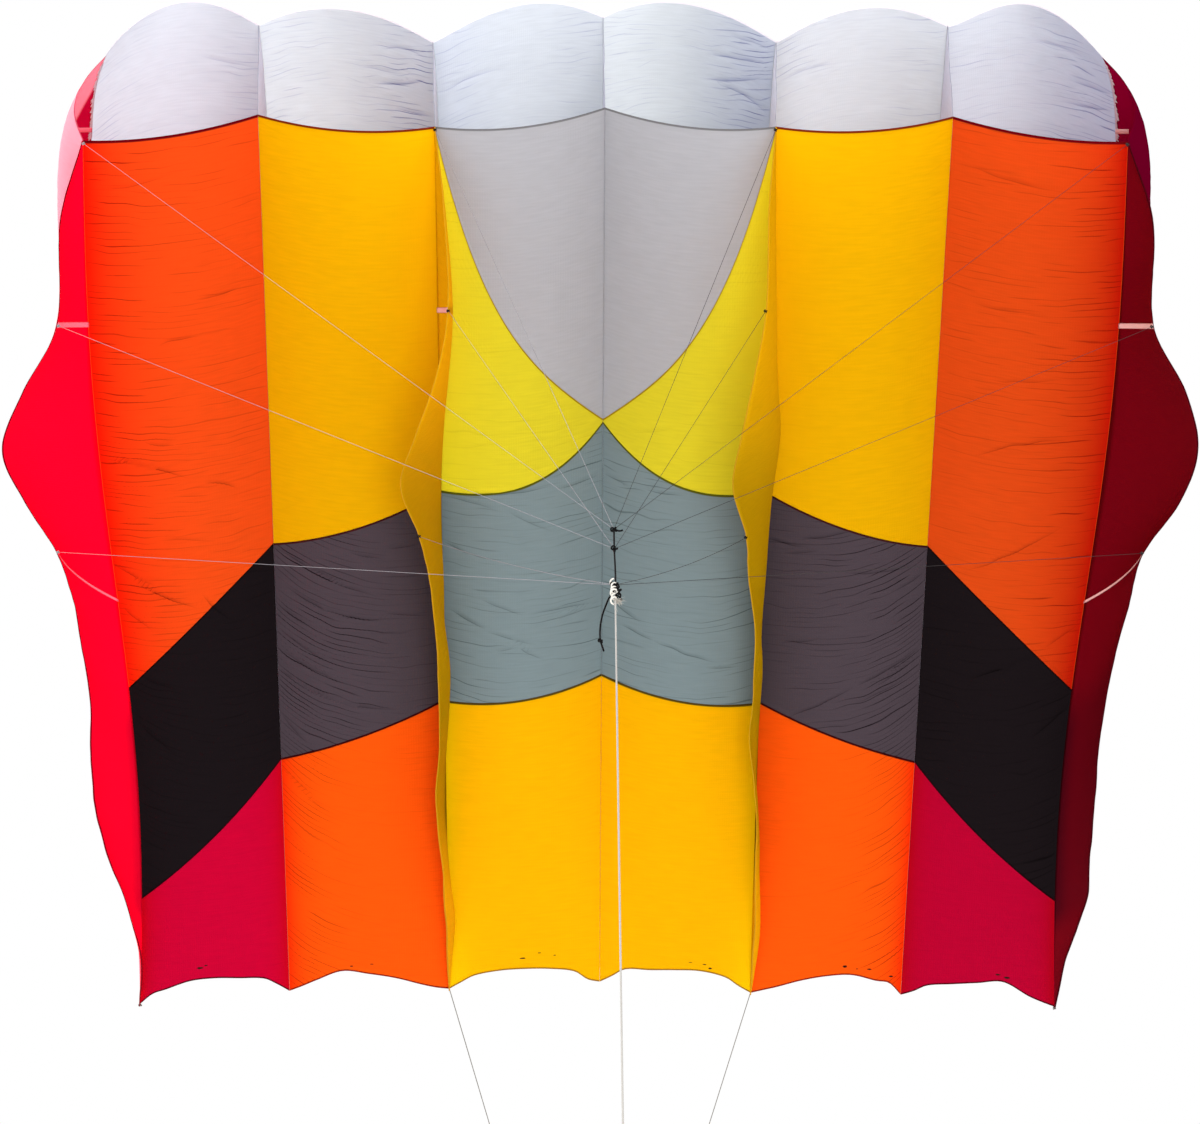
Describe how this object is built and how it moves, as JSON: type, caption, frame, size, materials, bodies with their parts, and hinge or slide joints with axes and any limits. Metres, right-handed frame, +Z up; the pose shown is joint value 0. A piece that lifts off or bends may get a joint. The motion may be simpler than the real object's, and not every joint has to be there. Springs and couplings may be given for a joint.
{
  "type": "foil kite",
  "caption": "Soft ram-air foil kite in flight: open-mouthed cells of sewn colour panels, hanging flares and keels, a cord bridle drawn to one tow point and a flying line.",
  "frame": {"origin": "tow point, the big knot where the bridle's lower cord and the flying line meet", "axes": "+X across the span, +Y from nose to tail along the chord, +Z up from the tow point to the belly"},
  "size_m": [2.3306, 2.7096, 3.6612],
  "materials": {
    "skin_white": "white ripstop nylon",
    "rib_white": "white ripstop nylon",
    "cloth_orange": "orange-red ripstop nylon",
    "cloth_black": "black ripstop nylon",
    "cloth_crimson": "crimson ripstop nylon",
    "cloth_amber": "amber ripstop nylon",
    "cloth_dark_grey": "dark grey ripstop nylon",
    "cloth_low_orange": "orange ripstop nylon",
    "cloth_light_grey": "light grey ripstop nylon",
    "cloth_yellow": "yellow ripstop nylon",
    "cloth_blue_grey": "blue-grey ripstop nylon",
    "cloth_low_amber": "amber ripstop nylon",
    "cloth_red": "red ripstop nylon",
    "cloth_mustard": "amber ripstop nylon",
    "tape_pink": "pale pink woven tape",
    "bridle_line": "thin pale braided line",
    "adjuster_cord": "black braided cord",
    "flying_cord": "white braided line",
    "tail_cord": "pale braided line"
  },
  "bodies": {
    "root": {"top_1": "skin_white", "top_2": "skin_white", "top_3": "skin_white", "top_4": "skin_white", "top_5": "skin_white", "top_6": "skin_white", "belly_1_a": "cloth_orange", "belly_1_b": "cloth_black", "belly_1_c": "cloth_crimson", "belly_2_a": "cloth_amber", "belly_2_b": "cloth_dark_grey", "belly_2_c": "cloth_low_orange", "belly_3_a": "cloth_light_grey", "belly_3_b": "cloth_yellow", "belly_3_c": "cloth_blue_grey", "belly_3_d": "cloth_low_amber", "belly_4_a": "cloth_light_grey", "belly_4_b": "cloth_yellow", "belly_4_c": "cloth_blue_grey", "belly_4_d": "cloth_low_amber", "belly_5_a": "cloth_amber", "belly_5_b": "cloth_dark_grey", "belly_5_c": "cloth_low_orange", "belly_6_a": "cloth_orange", "belly_6_b": "cloth_black", "belly_6_c": "cloth_crimson", "end_rib_left": "cloth_red", "rib_1": "rib_white", "rib_2": "rib_white", "rib_3": "rib_white", "rib_4": "rib_white", "rib_5": "rib_white", "end_rib_right": "cloth_red", "flare_left": "cloth_red", "keel_left": "cloth_mustard", "keel_right": "cloth_mustard", "flare_right": "cloth_red", "tape_left_b": "tape_pink", "tape_left_c": "tape_pink", "tape_right_b": "tape_pink", "tape_right_c": "tape_pink", "bridle_a1": "bridle_line", "bridle_a2": "bridle_line", "bridle_a3": "bridle_line", "bridle_a4": "bridle_line", "bridle_b1": "bridle_line", "bridle_b2": "bridle_line", "bridle_b3": "bridle_line", "bridle_b4": "bridle_line", "bridle_c1": "bridle_line", "bridle_c2": "bridle_line", "bridle_c3": "bridle_line", "bridle_c4": "bridle_line", "adjuster": "adjuster_cord", "flying_line": "flying_cord", "tail_line_left": "tail_cord", "tail_line_right": "tail_cord"}
  },
  "joints": []
}
